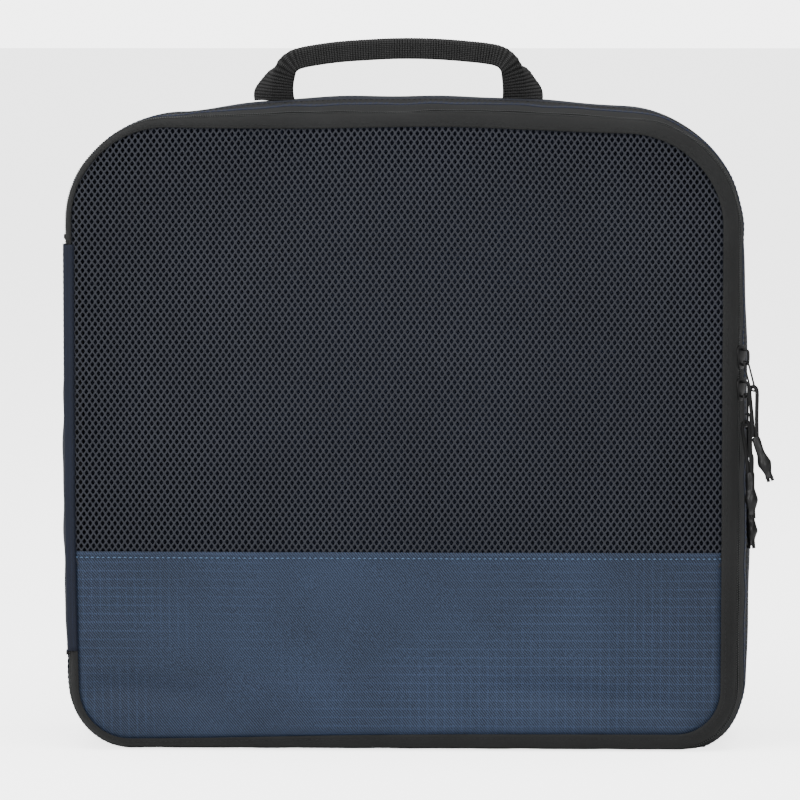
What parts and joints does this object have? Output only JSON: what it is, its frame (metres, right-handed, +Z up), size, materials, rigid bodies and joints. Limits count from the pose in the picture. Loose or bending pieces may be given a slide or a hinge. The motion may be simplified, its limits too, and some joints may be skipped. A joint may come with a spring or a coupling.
{
  "type": "packing cube",
  "caption": "Soft expandable packing cube with a mesh-windowed zip-round door, a second expansion zip, cord zip pulls and a folded webbing carry handle",
  "frame": {"origin": "middle of the cube's width at mid depth, on the surface that it stands on (the gusset's lower side)", "axes": "+Z up to the handle, +X to the right of the door seen from the front, +Y from the door to the back panel"},
  "size_m": [0.3545, 0.0981, 0.3554],
  "materials": {
    "navy_fabric": "woven twill with a fine ripstop grid, matt with a slight sheen",
    "black_tape": "matt woven zip tape",
    "zip_coil": "nylon coil",
    "lining_fabric": "thin coated lining",
    "black_mesh": "warp-knit mesh with staggered oval holes",
    "black_webbing": "ribbed webbing",
    "black_metal": "black enamel, semi-gloss",
    "grey_cord": "fine braided cord",
    "shrink_sleeve": "satin shrink tube"
  },
  "bodies": {
    "rear_tray": {"back_panel": "navy_fabric", "main_gusset": "navy_fabric", "back_seam_binding": "black_tape", "expansion_zip_rear_tape": "black_tape", "expansion_zip_rear_coil": "zip_coil", "handle_foot_left": "black_webbing", "handle_foot_right": "black_webbing", "expansion_zip_garage": "black_tape"},
    "front_frame": {"centre_strip": "navy_fabric", "main_zip_rear_tape": "black_tape", "main_zip_rear_coil": "zip_coil", "frame_seam_binding": "black_tape", "expansion_zip_front_tape": "black_tape", "expansion_zip_front_coil": "zip_coil", "expansion_pleat": "lining_fabric", "hinge_panel": "navy_fabric", "main_zip_stops": "black_metal"},
    "front_door": {"main_zip_front_tape": "black_tape", "main_zip_front_coil": "zip_coil", "mesh_panel": "black_mesh", "lower_panel": "navy_fabric", "door_hinge_strip": "navy_fabric", "door_seam_binding": "black_tape"},
    "handle": {"handle_webbing": "black_webbing"},
    "main_upper_zip_slider": {"main_upper_slider": "black_metal", "main_upper_slider_bridge": "black_metal"},
    "main_upper_wire": {"main_upper_pull_wire": "black_metal"},
    "main_upper_pull": {"main_upper_pull_cord": "grey_cord", "main_upper_pull_sleeve": "shrink_sleeve"},
    "main_lower_zip_slider": {"main_lower_slider": "black_metal", "main_lower_slider_bridge": "black_metal"},
    "main_lower_wire": {"main_lower_pull_wire": "black_metal"},
    "main_lower_pull": {"main_lower_pull_cord": "grey_cord", "main_lower_pull_sleeve": "shrink_sleeve"},
    "expansion_zip_slider": {"expansion_slider": "black_metal", "expansion_slider_bridge": "black_metal"},
    "expansion_wire": {"expansion_pull_wire": "black_metal"},
    "expansion_pull": {"expansion_pull_cord": "grey_cord", "expansion_pull_sleeve": "shrink_sleeve"}
  },
  "joints": [
    {"name": "expansion_slide", "type": "slide", "parent": "rear_tray", "child": "front_frame", "axis": [0, -1, 0], "range_m": [0, 0.035]},
    {"name": "door_hinge", "type": "hinge", "parent": "front_frame", "child": "front_door", "pos_m": [-0.167, -0.0455, 0.1525], "axis": [0, 0, -1], "range_deg": [0, 170]},
    {"name": "handle_fold", "type": "hinge", "parent": "rear_tray", "child": "handle", "pos_m": [-0.00275, 0.005, 0.3244], "axis": [1, 0, 0], "range_deg": [-80, 80]},
    {"name": "main_upper_zip_slide", "type": "slide", "parent": "front_frame", "child": "main_upper_zip_slider", "axis": [0, 0, 1], "range_m": [0, 0.06]},
    {"name": "main_lower_zip_slide", "type": "slide", "parent": "front_frame", "child": "main_lower_zip_slider", "axis": [0, 0, 1], "range_m": [-0.14, 0]},
    {"name": "expansion_zip_slide", "type": "slide", "parent": "rear_tray", "child": "expansion_zip_slider", "axis": [0, 0, 1], "range_m": [-0.12, 0.09]},
    {"name": "main_upper_wire_swing", "type": "hinge", "parent": "main_upper_zip_slider", "child": "main_upper_wire", "pos_m": [0.17046, -0.03976, 0.19485], "axis": [-0.4695, -0.8829, 0], "range_deg": [-6, 75]},
    {"name": "main_upper_pull_swing", "type": "hinge", "parent": "main_upper_wire", "child": "main_upper_pull", "pos_m": [0.17391, -0.04659, 0.1808], "axis": [-0.4695, -0.8829, 0], "range_deg": [-12, 15]},
    {"name": "main_lower_wire_swing", "type": "hinge", "parent": "main_lower_zip_slider", "child": "main_lower_wire", "pos_m": [0.17046, -0.03976, 0.17885], "axis": [-0.4695, -0.8829, 0], "range_deg": [-1, 85]},
    {"name": "main_lower_pull_swing", "type": "hinge", "parent": "main_lower_wire", "child": "main_lower_pull", "pos_m": [0.17071, -0.03989, 0.16285], "axis": [-0.4695, -0.8829, 0], "range_deg": [-3, 12]},
    {"name": "expansion_wire_swing", "type": "hinge", "parent": "expansion_zip_slider", "child": "expansion_wire", "pos_m": [0.17275, -0.013, 0.16085], "axis": [0, -1, 0], "range_deg": [-1, 150]},
    {"name": "expansion_pull_swing", "type": "hinge", "parent": "expansion_wire", "child": "expansion_pull", "pos_m": [0.17303, -0.013, 0.14485], "axis": [0, -1, 0], "range_deg": [-1, 25]}
  ]
}
